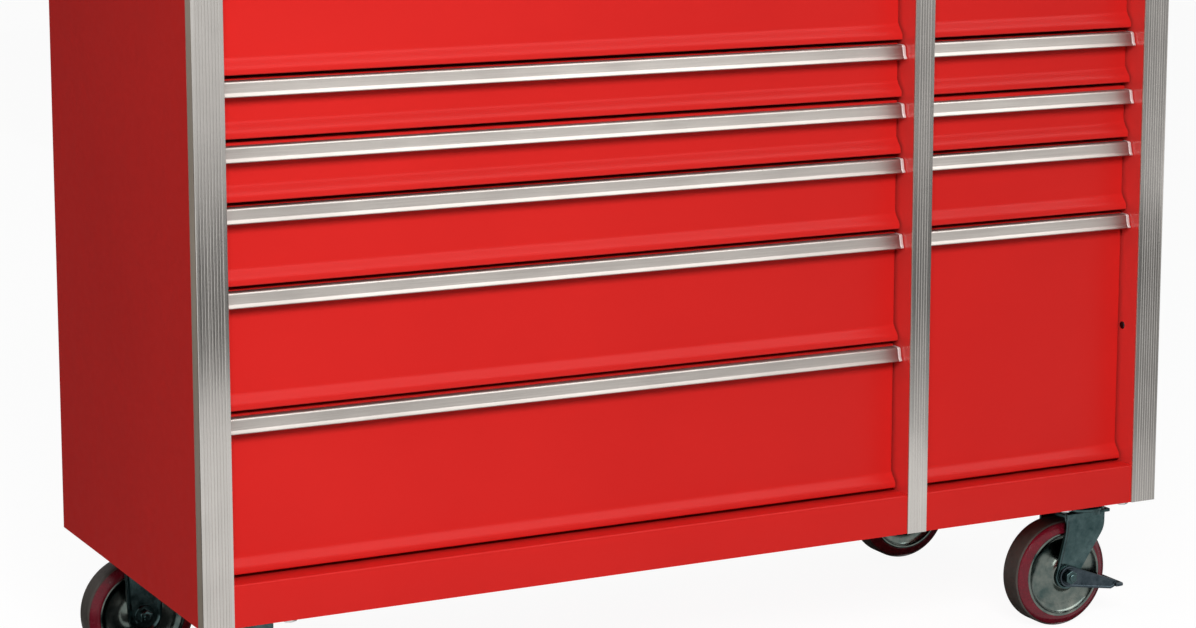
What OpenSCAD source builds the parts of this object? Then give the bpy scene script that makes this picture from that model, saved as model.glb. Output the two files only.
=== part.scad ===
// Two-bank roller tool cabinet: eleven drawers on slides, aluminium corner
// trims and full-width pulls, two rigid and two swivelling braked casters.
// The front faces -Y, +X is to the right as seen from the front, and the
// origin lies on the floor under the middle of the whole cabinet.

/* [Cabinet] */
// Width over the two side panels
body_w = 1422; // [1200:2:1700]
// Depth from the face of the trims to the back
body_d = 559; // [520:1:620]
// Height of the kick rail at the bottom of the front
kick_h = 53.5; // [45:0.5:80]
// Height of the rail over the top drawers, with the top panel in front of it
top_rail_h = 56; // [48:1:90]
// Depth of the folded edge of the top panel
top_lip = 25; // [16:1:34]
// Thickness of the cabinet's sheet steel
sheet = 1.5; // [1:0.1:2.5]
// How far the drawer fronts stand back from the trims
recess = 38; // [32:1:48]
// Depth of the front posts that carry the slides
post_d = 78; // [72:1:100]
// Width of the rear uprights, front to back
upright_d = 50; // [30:1:60]
// Room behind the rear uprights, where the locking frame moves
upright_gap = 24; // [20:1:40]
// Height of the channels that stiffen the floor over the casters
channel_h = 22; // [12:1:32]

/* [Trims] */
// Width of the corner trims on the front
trim_w = 40; // [34:1:56]
// How far the corner trims wrap onto the sides
trim_flank = 20; // [12:1:30]
// Width of the trim between the two banks
center_trim_w = 30; // [24:1:50]
// Thickness of the trims
trim_t = 2.5; // [2:0.1:4]
// Distance between the flutes in the trims
flute_pitch = 4; // [3:0.5:6]
// Depth of a flute
flute_depth = 0.4; // [0.2:0.1:0.8]

/* [Drawers] */
// Clear width between the posts of the right bank
right_bank_w = 345; // [280:1:450]
// Height step that all drawer heights are counted in
height_step = 25.5; // [24:0.5:28]
// Heights of the left drawers in steps, from the top
left_steps = [5, 3, 3, 4, 6, 8];
// Heights of the right drawers in steps, from the top
right_steps = [5, 3, 3, 4, 14];
// Gap between a drawer front and the next one
front_gap = 5; // [3:0.5:7]
// Gap between a drawer front and the posts
side_gap = 3; // [2:0.5:5]
// Thickness of the drawers' sheet steel
drawer_sheet = 1.2; // [0.8:0.1:1.6]
// Room between the drawer boxes and the back, for the locking frame
drawer_room = 48; // [44:1:80]
// Depth of the fold round the edge of a drawer front
front_fold = 12; // [8:1:14]
// Height of the plain hem at the foot of a drawer front
hem_h = 8; // [5:0.5:10]
// How far the hem stands out in front of the panel
hem_out = 10; // [6:0.5:12]
// Height of the slope between the panel and its hem
flare_h = 6; // [4:0.5:8]

/* [Pulls] */
// Height of a drawer pull
pull_h = 19; // [16:0.5:24]
// How far the top edge of a pull stands out from the drawer front
pull_top_out = 13; // [10:0.5:15]
// How far the bottom edge of a pull stands out from the drawer front
pull_foot_out = 20; // [16:0.5:26]
// Wall of the pull's extrusion
pull_t = 2; // [1.5:0.1:2.6]
// Strip of drawer front that shows over each left pull, from the top
left_drops = [1.5, 1.5, 3.5, 1, 1.5, 3];
// Strip of drawer front that shows over each right pull, from the top
right_drops = [1.5, 1, 5, 1, 1.5];
// Gap between the end of a pull and the post beside it
pull_end_gap = 1; // [0.5:0.25:2]

/* [Slides] */
// Room that a pair of slide members takes on each side of a drawer
slide_t = 12.7; // [12:0.1:14]
// Height of a slide
slide_h = 45; // [35:1:46]
// Wall of the slide members
slide_wall = 1.5; // [1.2:0.1:2]
// How far a slide laps onto its front post
slide_lap = 24; // [16:1:40]
// How far a slide laps onto its rear upright
rear_lap = 22; // [12:1:40]
// Running clearance between the two members
slide_gap = 0.3; // [0.2:0.05:0.5]

/* [Lock] */
// Diameter of the lock's plug
plug_d = 18; // [14:1:22]
// Radius of the crank behind the lock
crank_r = 8; // [6:0.5:10]
// Width of a bar of the locking frame
lock_bar_w = 24; // [16:1:32]
// Thickness of the locking frame
lock_bar_t = 3; // [2:0.5:4]
// Length of a locking prong
prong_h = 13; // [12:0.5:14]
// How far the hook on a drawer's back reaches behind it
hook_out = 16; // [12:1:18]
// Diameter of the latch hole in the right post
latch_hole_d = 6.5; // [4:0.5:8]
// Height of the latch hole over the foot of the cabinet
latch_hole_z = 248; // [150:1:330]

/* [Handle] */
// Diameter of the push handle's tube
handle_tube_d = 25.4; // [20:0.1:32]
// Wall of the tube and of the bosses that hold it
handle_wall = 3; // [2:0.5:4]
// Distance from the side panel to the middle of the tube
handle_standoff = 62; // [45:1:80]
// Length of the push handle
handle_len = 400; // [300:10:460]
// Distance of the handle below the top of the cabinet
handle_drop = 66; // [50:1:120]

/* [Casters] */
// Room over a wheel, below the crown of its fork
wheel_room = 7.6; // [5:0.1:24]
// Wheel diameter
wheel_d = 152.4; // [140:0.2:154]
// Tread width
wheel_w = 50.8; // [40:0.2:56]
// Thickness of the tread over the wheel's core
tread_t = 16.7; // [10:0.1:22]
// Distance of a wheel's middle plane from the front or the back
caster_inset_y = 76; // [68:1:90]
// Distance of a caster's mounting from the side of the cabinet
caster_inset_x = 77; // [77:1:110]
// How far the swivelling wheels trail behind their kingpins
trail = 40; // [32:1:46]
// How far a swivelling fork's leg leans forward from the axle
leg_lean = 30; // [20:1:40]
// Length of a caster's plate along the cabinet
plate_l = 114; // [108:1:120]
// Width of a caster's plate
plate_w = 102; // [96:1:108]
// Thickness of the plates and forks
fork_t = 5; // [4:0.5:6]
// Gap between a fork's leg and the wheel
leg_gap = 2.6; // [2:0.1:5]
// Diameter of the axles and kingpins
axle_d = 12; // [10:0.5:14]
// Diameter of the bolts that hold the plates
plate_bolt_d = 10; // [8:1:12]
// Length of a brake pedal's step, past the wheel
pedal_l = 14.8; // [12:0.1:24]

/* [Hidden] */
$fn = 48;
sides = ["left", "right"];
ends = ["front", "rear"];
steps = [left_steps, right_steps];
drops = [left_drops, right_drops];
running = 0.05;        // radial clearance of an axle, a kingpin or a bonded tread
seat_gap = 0.3;        // clearance where one moving piece lies over another
past = 1;              // how far a cut runs past the face it starts from

function sum_to(v, n) = n <= 0 ? 0 : v[n - 1] + sum_to(v, n - 1);
function drawer_name(kind, s, i) = str(kind, "_", sides[s], "_", i + 1);

// Heights, from the foot of the steel body upwards
stack_foot = kick_h + front_gap / 2;
stack_top = stack_foot + height_step * sum_to(left_steps, len(left_steps));
body_h = stack_top + top_rail_h;
post_top = body_h - top_lip;
rail_foot = stack_top + front_gap / 2;

// Widths, from the outer face of the left side panel
left_bank_w = body_w - 2 * trim_w - center_trim_w - right_bank_w;
bank_x = [trim_w, trim_w + left_bank_w + center_trim_w];
bank_w = [left_bank_w, right_bank_w];
part_x = trim_w + left_bank_w;
inner_back = body_d - 2 * sheet;           // front face of the back panel
rail_depth = recess + front_fold;          // how far the two front rails reach back
rail_fold = 8;                             // fold along a rail's rear edge
box_back = inner_back - drawer_room;       // rear face of the drawer boxes
upright_y = inner_back - upright_d - upright_gap;
slide_y = post_d - slide_lap;              // front end of the slides
slide_len = upright_y + rear_lap - slide_y;
slide_foot_drop = 2;                       // slide's foot over the drawer's bottom
member_gap = 1;                            // from a slide member's lips to the piece beside it

// The cabinet stands on its casters, and the handle makes it wider on the right
boss_r = handle_tube_d / 2 + handle_wall;
handle_reach = handle_standoff + boss_r;
origin_x = -(body_w + handle_reach) / 2;
origin_y = -body_d / 2;

// Casters
wheel_r = wheel_d / 2;
race_h = 7;                                // height of each half of the swivel bearing
race_r = 34;
caster_h = wheel_d + wheel_room + 2 * fork_t + 2 * race_h;   // floor to the plate's upper face
core_r = wheel_r - tread_t;
leg_y = wheel_w / 2 + leg_gap;             // inner face of a fork's leg
axle_r = axle_d / 2;
bore_r = axle_r + running;
king_x = body_w - caster_inset_x;
caster_y = [caster_inset_y, body_d - caster_inset_y];
plate_foot = caster_h - fork_t;
crown_z = plate_foot - 2 * race_h - fork_t;
bolt_in_x = 8;                             // how far the bolts stand in from a plate's edges
bolt_in_y = 15;
bolt_x = plate_l / 2 - bolt_in_x;
bolt_y = plate_w / 2 - bolt_in_y;
bolt_slack = 0.25;
bolt_hole_r = plate_bolt_d / 2 + bolt_slack;
nut_h = 7;
nut_r = plate_bolt_d * 0.95;
nut_room = 1.5;                            // clearance of the sheet steel round a nut
channel_half = bolt_x + nut_r + 6.5;       // half width of a floor channel

// Lock
lock_x = bank_x[1] + right_bank_w / 2;
lock_z = (rail_foot + post_top) / 2;
plug_r = plug_d / 2;
crank_turn = 90;
crank_pin_r = 2.5;
lift = 2 * crank_r * sin(crank_turn / 2);  // rise of the locking frame
frame_gap = 14;                            // room between the locking frame and the back
frame_y = inner_back - frame_gap;          // rear face of the locking frame
cross_foot = lock_z - 2 * crank_r;         // foot of the frame's cross bar
crank_gap = 3;                             // room between the crank and the frame
crank_y = frame_y - 2 * lock_bar_t - crank_gap;
hook_inset = 12;                           // from a drawer box's left side to its hook
hook_clear = 3;                            // room between a raised prong and its hook
prong_gap = 1.5;                           // a lowered prong's tip below its hook

red = [0.80, 0.11, 0.09];
zinc = [0.72, 0.73, 0.72];
alloy = [0.78, 0.77, 0.75];
steel = [0.45, 0.48, 0.47];
tread_red = [0.42, 0.12, 0.14];

// ---------------------------------------------------------------- helpers

// From the cabinet's front left foot to the shared origin
module cabinet() {
    translate([origin_x, origin_y, caster_h]) children();
}

// A box between two corners
module block(lo, hi) {
    translate(lo) cube(hi - lo);
}

// A rectangle between two corners
module strip(lo, hi) {
    translate(lo) square(hi - lo);
}

// An outline drawn in Y and Z, drawn out along X
module along_x(x, length) {
    translate([x, 0, 0]) rotate([90, 0, 90]) linear_extrude(length) children();
}

// A shaft or bore along Y
module along_y(r, y0, y1) {
    translate([0, y1, 0]) rotate([90, 0, 0]) cylinder(r = r, h = y1 - y0);
}

module mirrored_side() {
    translate([body_w, 0, 0]) mirror([1, 0, 0]) children();
}

// ---------------------------------------------------------------- cabinet

// Section of the left side panel, with its front post and rear flange
module side_section() {
    strip([0, trim_flank], [sheet, body_d]);
    strip([0, trim_flank], [trim_t + sheet, trim_flank + sheet]);
    strip([trim_t, trim_t], [trim_t + sheet, trim_flank + sheet]);
    strip([trim_t, trim_t], [trim_w, trim_t + sheet]);
    strip([trim_w - sheet, trim_t], [trim_w, post_d]);
    strip([trim_w / 2, post_d - sheet], [trim_w, post_d]);
    strip([0, body_d - sheet], [trim_flank, body_d]);
}

// Stands on the floor, notched where a caster's nut would come under it
module side_shell() {
    difference() {
        translate([0, 0, sheet]) linear_extrude(post_top - sheet) side_section();
        caster_nut_room();
    }
}

module side_panel_left() {
    color(red) cabinet() side_shell();
}

module side_panel_right() {
    color(red) cabinet() difference() {
        mirrored_side() side_shell();
        translate([body_w - trim_w - past, recess - 5, latch_hole_z])
            rotate([0, 90, 0]) cylinder(d = latch_hole_d, h = sheet + 2 * past);
    }
}

module back_panel() {
    color(red) cabinet()
        block([sheet, inner_back, sheet], [body_w - sheet, inner_back + sheet, post_top]);
}

module top_panel() {
    color(red) cabinet() difference() {
        block([0, 0, post_top], [body_w, body_d, body_h]);
        block([sheet, sheet, post_top - past], [body_w - sheet, body_d - sheet, body_h - sheet]);
    }
}

// Floor under the posts, panels and channels, which the casters are bolted to
module base_plate() {
    color(red) cabinet() difference() {
        union() {
            block([0, trim_flank, 0], [body_w, body_d, sheet]);
            block([trim_t, trim_t, 0], [body_w - trim_t, body_d, sheet]);
        }
        for (x = [caster_inset_x, king_x], y = caster_y) bolt_holes(x, y);
    }
}

module bolt_holes(x, y) {
    for (dx = [-bolt_x, bolt_x], dy = [-bolt_y, bolt_y])
        translate([x + dx, y + dy, -past]) cylinder(r = bolt_hole_r, h = sheet + 2 * past);
}

// Space round the nuts on the floor, as cuts
module caster_nut_room() {
    for (x = [caster_inset_x, king_x], y = caster_y,
         dx = [-bolt_x, bolt_x], dy = [-bolt_y, bolt_y])
        translate([x + dx, y + dy, 0]) cylinder(r = nut_r + nut_room, h = sheet + nut_h + nut_room);
}

// A rail folded back at its free edge, drawn in Y and Z
module rail_section(foot, top, shelf_at_top) {
    fold = rail_fold;
    shelf = shelf_at_top ? top - sheet : foot;
    fold_foot = shelf_at_top ? top - fold : foot;
    strip([trim_t, foot], [trim_t + sheet, top]);
    strip([trim_t, shelf], [rail_depth, shelf + sheet]);
    strip([rail_depth - sheet, fold_foot], [rail_depth, fold_foot + fold]);
}

module kick_rail() {
    color(red) cabinet()
        along_x(trim_w, body_w - 2 * trim_w) rail_section(sheet, kick_h, true);
}

module top_rail() {
    color(red) cabinet() difference() {
        along_x(trim_w, body_w - 2 * trim_w) rail_section(rail_foot, post_top, false);
        translate([lock_x, 0, lock_z]) along_y(plug_r + running, 0, trim_t + sheet + past);
    }
}

// Hollow wall between the two banks: notched over the kick rail, under the top rail,
// and at the top of its rear edge, where the locking frame crosses it
module partition() {
    front = trim_t + sheet;
    notch = crank_gap + past;
    back = frame_y - lock_bar_t - notch;
    module wall_outline() {
        strip([front, kick_h], [rail_depth + sheet, rail_foot]);
        difference() {
            strip([rail_depth, sheet], [inner_back, post_top]);
            strip([back, cross_foot - notch], [frame_y + notch, post_top + past]);
        }
    }
    module web(lo, hi) {
        block([part_x, lo[0], lo[1]], [part_x + center_trim_w, hi[0], hi[1]]);
    }
    color(red) cabinet() {
        for (x = [part_x, part_x + center_trim_w - sheet]) along_x(x, sheet) wall_outline();
        web([trim_t, kick_h], [front, rail_foot]);
        web([inner_back - sheet, sheet], [inner_back, post_top]);
        web([rail_depth, sheet], [inner_back - sheet, 2 * sheet]);
    }
}

// Rear uprights that carry the slides at the two sides, and channels over the casters
module frame_channels() {
    module upright() {
        strip([sheet, upright_y], [trim_w, upright_y + sheet]);
        strip([trim_w - sheet, upright_y], [trim_w, upright_y + upright_d]);
        strip([sheet, upright_y + upright_d - sheet], [trim_w, upright_y + upright_d]);
    }
    module channel(x) {
        difference() {
            block([x - channel_half, post_d + sheet, sheet],
                  [x + channel_half, upright_y - sheet, channel_h]);
            block([x - channel_half + sheet, post_d, sheet - past],
                  [x + channel_half - sheet, upright_y, channel_h - sheet]);
        }
    }
    color(zinc) cabinet() difference() {
        union() {
            translate([0, 0, sheet]) linear_extrude(post_top - sheet) upright();
            mirrored_side() translate([0, 0, sheet]) linear_extrude(post_top - sheet) upright();
            for (x = [caster_inset_x, king_x]) channel(x);
        }
        caster_nut_room();
    }
}

// ---------------------------------------------------------------- trims

// Flutes across a face of the given width, as cuts in the section
module flutes(width) {
    count = floor((width - 2 * flute_pitch) / flute_pitch);
    start = (width - (count - 1) * flute_pitch) / 2;
    half = 0.6;
    for (i = [0 : count - 1])
        strip([start + i * flute_pitch - half, -past],
              [start + i * flute_pitch + half, flute_depth]);
}

module corner_trim() {
    linear_extrude(post_top) difference() {
        union() {
            strip([0, 0], [trim_w, trim_t]);
            strip([0, 0], [trim_t, trim_flank]);
        }
        flutes(trim_w);
    }
}

module trim_left() {
    color(alloy) cabinet() corner_trim();
}

module trim_right() {
    color(alloy) cabinet() mirrored_side() corner_trim();
}

module trim_center() {
    color(alloy) cabinet() translate([part_x, 0, 0]) linear_extrude(post_top) difference() {
        square([center_trim_w, trim_t]);
        flutes(center_trim_w);
    }
}

// ---------------------------------------------------------------- drawers

box_rise = 2;                              // box's bottom over the top of the flare
box_drop = 10;                             // box's top below the front's top

// Foot and top of a drawer's front, and of its box, over the cabinet's foot
function front_top(s, i) = stack_top - height_step * sum_to(steps[s], i) - front_gap / 2;
function front_foot(s, i) = stack_top - height_step * sum_to(steps[s], i + 1) + front_gap / 2;
function box_foot(s, i) = front_foot(s, i) + hem_h + flare_h + box_rise;
function box_top(s, i) = front_top(s, i) - box_drop;
function slide_foot(s, i) = box_foot(s, i) + slide_foot_drop;

box_x = [for (s = [0, 1]) bank_x[s] + slide_t];
box_w = [for (s = [0, 1]) bank_w[s] - 2 * slide_t];
hook_at = lock_bar_w / 2 + hook_inset;     // hook's middle, from the box's left side

// Panel with its flared hem, drawn in Y and Z
module front_section(foot, top) {
    flare_foot = foot + hem_h;
    flare_top = flare_foot + flare_h;
    out = recess - hem_out;
    polygon([[recess, top], [recess, flare_top], [out, flare_foot], [out, foot],
             [out + drawer_sheet, foot], [out + drawer_sheet, flare_foot - drawer_sheet / 2],
             [recess + drawer_sheet, flare_top - drawer_sheet / 2],
             [recess + drawer_sheet, top - drawer_sheet],
             [recess + front_fold, top - drawer_sheet], [recess + front_fold, top]]);
}

module drawer(s, i) {
    foot = front_foot(s, i);
    top = front_top(s, i);
    x0 = bank_x[s] + side_gap;
    x1 = bank_x[s] + bank_w[s] - side_gap;
    lo = [box_x[s], recess, box_foot(s, i)];
    hi = [box_x[s] + box_w[s], box_back, box_top(s, i)];
    fold_foot = foot + hem_h + flare_h;
    color(red) cabinet() {
        along_x(x0, x1 - x0) front_section(foot, top);
        for (x = [x0, x1 - drawer_sheet])
            block([x, recess, fold_foot], [x + drawer_sheet, recess + front_fold, top]);
        difference() {
            block(lo, hi);
            block([lo.x + drawer_sheet, lo.y + drawer_sheet, lo.z + drawer_sheet],
                  [hi.x - drawer_sheet, hi.y - drawer_sheet, hi.z + past]);
        }
        rear_hook(lo.x + hook_at, hi.z);
    }
}

// Hook behind a drawer that the locking prong rises in front of
module rear_hook(x, top) {
    w = lock_bar_w;
    block([x - w / 2, box_back - drawer_sheet, top - drawer_sheet],
          [x + w / 2, box_back + hook_out, top]);
    block([x - w / 2, box_back + hook_out - drawer_sheet, top - prong_h],
          [x + w / 2, box_back + hook_out, top]);
}

// Aluminium pull, open underneath for the fingers, drawn in Y and Z
module pull_section(top) {
    foot = top - pull_h;
    head = recess - pull_top_out;
    toe = recess - pull_foot_out;
    round_off = pull_t * 0.6;
    polygon([[recess, top], [head + round_off, top], [head, top - round_off],
             [toe, foot + round_off], [toe + round_off, foot], [toe + pull_t + round_off, foot],
             [head + pull_t, top - pull_t], [recess - pull_t, top - pull_t],
             [recess - pull_t, foot + pull_t], [recess, foot + pull_t]]);
}

module pull(s, i) {
    color(alloy) cabinet()
        along_x(bank_x[s] + pull_end_gap, bank_w[s] - 2 * pull_end_gap)
            pull_section(front_top(s, i) - drops[s][i]);
}

// Channel of a slide that opens towards +X, drawn in X and Z
module slide_channel(x, depth, foot, height, y0, length) {
    difference() {
        block([x, y0, foot], [x + depth, y0 + length, foot + height]);
        block([x + slide_wall, y0 - past, foot + slide_wall],
              [x + depth + past, y0 + length + past, foot + height - slide_wall]);
    }
}

// Both ends of a bank's width, the right one as a mirror image
module both_walls(s) {
    children();
    translate([2 * bank_x[s] + bank_w[s], 0, 0]) mirror([1, 0, 0]) children();
}

module runners(s, i) {
    inset = slide_wall + slide_gap;
    color(zinc) cabinet() both_walls(s)
        translate([2 * bank_x[s] + slide_t, 0, 0]) mirror([1, 0, 0])
            slide_channel(bank_x[s], slide_t - slide_wall - member_gap, slide_foot(s, i) + inset,
                          slide_h - 2 * inset, slide_y, slide_len);
}

module cabinet_slides() {
    color(zinc) cabinet()
        for (s = [0, 1], i = [0 : len(steps[s]) - 1])
            both_walls(s)
                slide_channel(bank_x[s], slide_t - member_gap, slide_foot(s, i), slide_h,
                              slide_y, slide_len);
}

// ---------------------------------------------------------------- lock

// Plug with its long spindle and the crank that lifts the locking frame
module lock_cylinder() {
    spindle_r = 4;
    key_w = 1.6;
    key_h = 8;
    key_deep = 6;
    pin_end = frame_y + 2;
    color(zinc) cabinet() translate([lock_x, 0, lock_z]) difference() {
        union() {
            along_y(plug_r, 0, trim_t + sheet + 14);
            along_y(spindle_r, trim_t, crank_y + lock_bar_t);
            translate([0, crank_y, 0]) rotate([0, crank_turn / 2, 0])
                block([-spindle_r, 0, -spindle_r], [crank_r + spindle_r, lock_bar_t, spindle_r]);
            rotate([0, crank_turn / 2, 0]) translate([crank_r, 0, 0])
                along_y(crank_pin_r, crank_y, pin_end);
        }
        block([-key_w / 2, -past, -key_h / 2], [key_w / 2, key_deep, key_h / 2]);
    }
}

// Frame behind the drawers: a cross bar with the crank's slot, and a bar with prongs per bank
module lock_bar() {
    y0 = frame_y - lock_bar_t;
    cross_top = post_top - lift - 2;
    bar_x = [for (s = [0, 1]) box_x[s] + hook_at - lock_bar_w / 2];
    slack = 0.4;
    slot_lo = crank_r * cos(crank_turn / 2) - crank_pin_r - slack;
    slot_hi = crank_r + crank_pin_r + slack;
    pin_z = lock_z - crank_r * sin(crank_turn / 2);
    color(zinc) cabinet() difference() {
        union() {
            block([bar_x[0], y0, cross_foot], [bar_x[1] + lock_bar_w, frame_y, cross_top]);
            block([bar_x[1], y0, cross_foot], [lock_x + 2 * crank_r, frame_y, cross_top]);
            for (s = [0, 1]) {
                last = len(steps[s]) - 1;
                block([bar_x[s], y0, box_top(s, last) - 4 * prong_h],
                      [bar_x[s] + lock_bar_w, frame_y, cross_top]);
                for (i = [0 : last]) prong(bar_x[s], box_top(s, i) - prong_h);
            }
        }
        block([lock_x + slot_lo, y0 - past, pin_z - crank_pin_r - slack],
              [lock_x + slot_hi, frame_y + past, pin_z + crank_pin_r + slack]);
    }
}

// Finger that reaches under a drawer's hook and stands up in front of it when raised
module prong(x, hook_foot) {
    tip = hook_foot - prong_gap;
    front = box_back + hook_out - drawer_sheet - lock_bar_t - hook_clear;
    inset = 4;
    block([x + inset, front, tip - prong_h - lock_bar_t],
          [x + lock_bar_w - inset, frame_y, tip - prong_h]);
    block([x + inset, front, tip - prong_h - lock_bar_t],
          [x + lock_bar_w - inset, front + lock_bar_t, tip]);
}

// ---------------------------------------------------------------- handle

// Push handle: a tube held by the bosses of two brackets on the right side
module side_handle() {
    flange_w = 44;
    flange_h = 70;
    flange_t = 5;
    boss_l = 34;
    arm_r = 12;
    screw_r = 5;
    tube_end = handle_len / 2 + boss_l / 2 - handle_wall;
    module tube(r, half) {
        translate([handle_standoff, 0, 0]) along_y(r, -half, half);
    }
    color(zinc) cabinet() translate([body_w, body_d / 2, body_h - handle_drop]) {
        difference() {
            for (e = [-1, 1]) translate([0, e * handle_len / 2, 0]) {
                block([0, -flange_w / 2, -flange_h / 2], [flange_t, flange_w / 2, flange_h / 2]);
                rotate([0, 90, 0]) cylinder(r = arm_r, h = handle_standoff);
                tube(boss_r, boss_l / 2);
                for (z = [-1, 1]) translate([0, 0, z * (flange_h / 2 - 10)])
                    rotate([0, 90, 0]) cylinder(r = screw_r, h = flange_t + 3);
            }
            tube(handle_tube_d / 2 + running, tube_end + running);
        }
        difference() {
            tube(handle_tube_d / 2, tube_end);
            tube(handle_tube_d / 2 - handle_wall, tube_end + past);
        }
    }
}

// ---------------------------------------------------------------- casters

// Places a part at an axle: +X, Y and Z from the wheel's centre
module at_axle(x, e) {
    translate([origin_x + x, origin_y + caster_y[e], wheel_r]) children();
}

// Outline of a fork's leg in X and Z: round at the axle, spreading to the crown
module leg_outline(lean, crown_w, crown) {
    foot_r = 19;
    circle(r = foot_r);
    polygon([[-foot_r, 0], [foot_r, 0], [lean + crown_w / 2, crown * 0.72],
             [lean + crown_w / 2, crown], [lean - crown_w / 2, crown],
             [lean - crown_w / 2, crown * 0.72]]);
}

module leg_pair(lean, crown_w, crown) {
    for (y = [-leg_y - fork_t, leg_y])
        translate([0, y + fork_t, 0]) rotate([90, 0, 0]) linear_extrude(fork_t) difference() {
            leg_outline(lean, crown_w, crown);
            circle(r = bore_r);
        }
}

// Axle bolt with its two heads outside the fork, and outside the brake on its -Y side
module axle_bolt(front_room) {
    head_r = 10;
    front = -leg_y - fork_t - front_room - running;
    back = leg_y + fork_t + running;
    along_y(axle_r, front, back);
    for (y = [front - nut_h, back])
        translate([0, y + nut_h, 0]) rotate([90, 0, 0]) cylinder(r = head_r, h = nut_h, $fn = 6);
}

module mounting_plate() {
    difference() {
        block([-plate_l / 2, -plate_w / 2, plate_foot], [plate_l / 2, plate_w / 2, caster_h]);
        for (dx = [-bolt_x, bolt_x], dy = [-bolt_y, bolt_y])
            translate([dx, dy, plate_foot - past])
                cylinder(r = bolt_hole_r, h = fork_t + 2 * past);
    }
}

module rigid_casters() {
    crown_w = 72;
    color(steel) for (e = [0, 1]) {
        translate([origin_x + caster_inset_x, origin_y + caster_y[e], 0]) mounting_plate();
        at_axle(caster_inset_x, e) {
            leg_pair(0, crown_w, plate_foot - wheel_r);
            axle_bolt(0);
        }
    }
}

// Fixed halves of the swivels: plate, upper race and kingpin
module swivel_plates() {
    king_foot = crown_z - seat_gap - nut_h;
    color(steel) for (e = [0, 1])
        translate([origin_x + king_x, origin_y + caster_y[e], 0]) {
            mounting_plate();
            translate([0, 0, plate_foot - race_h]) cylinder(r = race_r, h = race_h);
            translate([0, 0, king_foot]) cylinder(r = axle_r, h = plate_foot - king_foot);
            translate([0, 0, king_foot]) cylinder(r = axle_r + 4, h = nut_h, $fn = 6);
        }
}

// Swivelling fork, with its lower race round the kingpin and its axle
module caster_fork(e) {
    leg_w = 66;
    crown_w = 2 * (race_r + 2);
    crown = crown_z - wheel_r;
    color(steel) {
        at_axle(king_x - trail, e) {
            leg_pair(leg_lean, leg_w, crown + fork_t);
            axle_bolt(fork_t + 2 * seat_gap);
        }
        translate([origin_x + king_x, origin_y + caster_y[e], crown_z]) difference() {
            union() {
                block([-crown_w / 2, -leg_y, 0], [crown_w / 2, leg_y, fork_t]);
                cylinder(r = race_r + 3, h = fork_t + race_h - seat_gap);
            }
            translate([0, 0, -past]) cylinder(r = bore_r, h = fork_t + race_h + 2 * past);
        }
    }
}

module wheel(x, e) {
    hub_r = 17;
    rim_t = 6;
    web_y = wheel_w / 2 - 8;
    rim_y = wheel_w / 2 - 2;
    tread_y = wheel_w / 2;
    crown_drop = 5;
    hub_y = leg_y - seat_gap;
    at_axle(x, e) rotate([90, 0, 0]) {
        color(tread_red) rotate_extrude($fn = 96)
            polygon([[core_r + running, -tread_y + 1], [wheel_r - crown_drop, -tread_y],
                     [wheel_r, -tread_y + crown_drop], [wheel_r, tread_y - crown_drop],
                     [wheel_r - crown_drop, tread_y], [core_r + running, tread_y - 1]]);
        color(steel) rotate_extrude($fn = 96)
            polygon([[bore_r, -hub_y], [hub_r, -hub_y], [hub_r + 4, -web_y],
                     [core_r - rim_t - 4, -web_y], [core_r - rim_t, -rim_y], [core_r, -rim_y],
                     [core_r, rim_y], [core_r - rim_t, rim_y], [core_r - rim_t - 4, web_y],
                     [hub_r + 4, web_y], [hub_r, hub_y], [bore_r, hub_y]]);
    }
}

// Foot brake on the outer side of a swivelling fork: an eye on the axle, an arm and a pedal
module brake(e) {
    eye_r = 15;
    arm_drop = 16;
    arm_y = -leg_y - fork_t - seat_gap;
    pedal_h = 4;
    pedal_gap = 3;
    pedal_x = wheel_r + pedal_gap;
    pedal_tip = pedal_x + pedal_l;
    color(steel) at_axle(king_x - trail, e) {
        translate([0, arm_y, 0]) rotate([90, 0, 0]) linear_extrude(fork_t) difference() {
            union() {
                circle(r = eye_r);
                polygon([[0, eye_r], [pedal_x + pedal_h, -arm_drop], [pedal_x + pedal_h, -arm_drop - 3 * pedal_h],
                         [0, -eye_r]]);
            }
            circle(r = bore_r);
        }
        block([pedal_x, arm_y - 2 * fork_t, -arm_drop - 2 * pedal_h],
              [pedal_tip, wheel_w / 4, -arm_drop - pedal_h]);
    }
}

module caster_bolts() {
    shank = fork_t + sheet;
    color(zinc) for (x = [caster_inset_x, king_x], e = [0, 1])
        translate([origin_x + x, origin_y + caster_y[e], 0])
            for (dx = [-bolt_x, bolt_x], dy = [-bolt_y, bolt_y])
                translate([dx, dy, plate_foot]) {
                    translate([0, 0, -nut_h]) cylinder(r = nut_r, h = nut_h, $fn = 6);
                    cylinder(d = plate_bolt_d, h = shank);
                    translate([0, 0, shank]) cylinder(r = nut_r, h = nut_h, $fn = 6);
                }
}

// ---------------------------------------------------------------- pieces

side_panel_left();
side_panel_right();
back_panel();
top_panel();
base_plate();
kick_rail();
top_rail();
partition();
frame_channels();
trim_left();
trim_center();
trim_right();
cabinet_slides();
lock_cylinder();
lock_bar();
side_handle();
rigid_casters();
swivel_plates();
caster_bolts();

for (e = [0, 1]) {
    caster_fork(e);
    wheel(caster_inset_x, e);
    wheel(king_x - trail, e);
    brake(e);
}

for (s = [0, 1], i = [0 : len(steps[s]) - 1]) {
    drawer(s, i);
    pull(s, i);
    runners(s, i);
}
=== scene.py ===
import math

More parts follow.
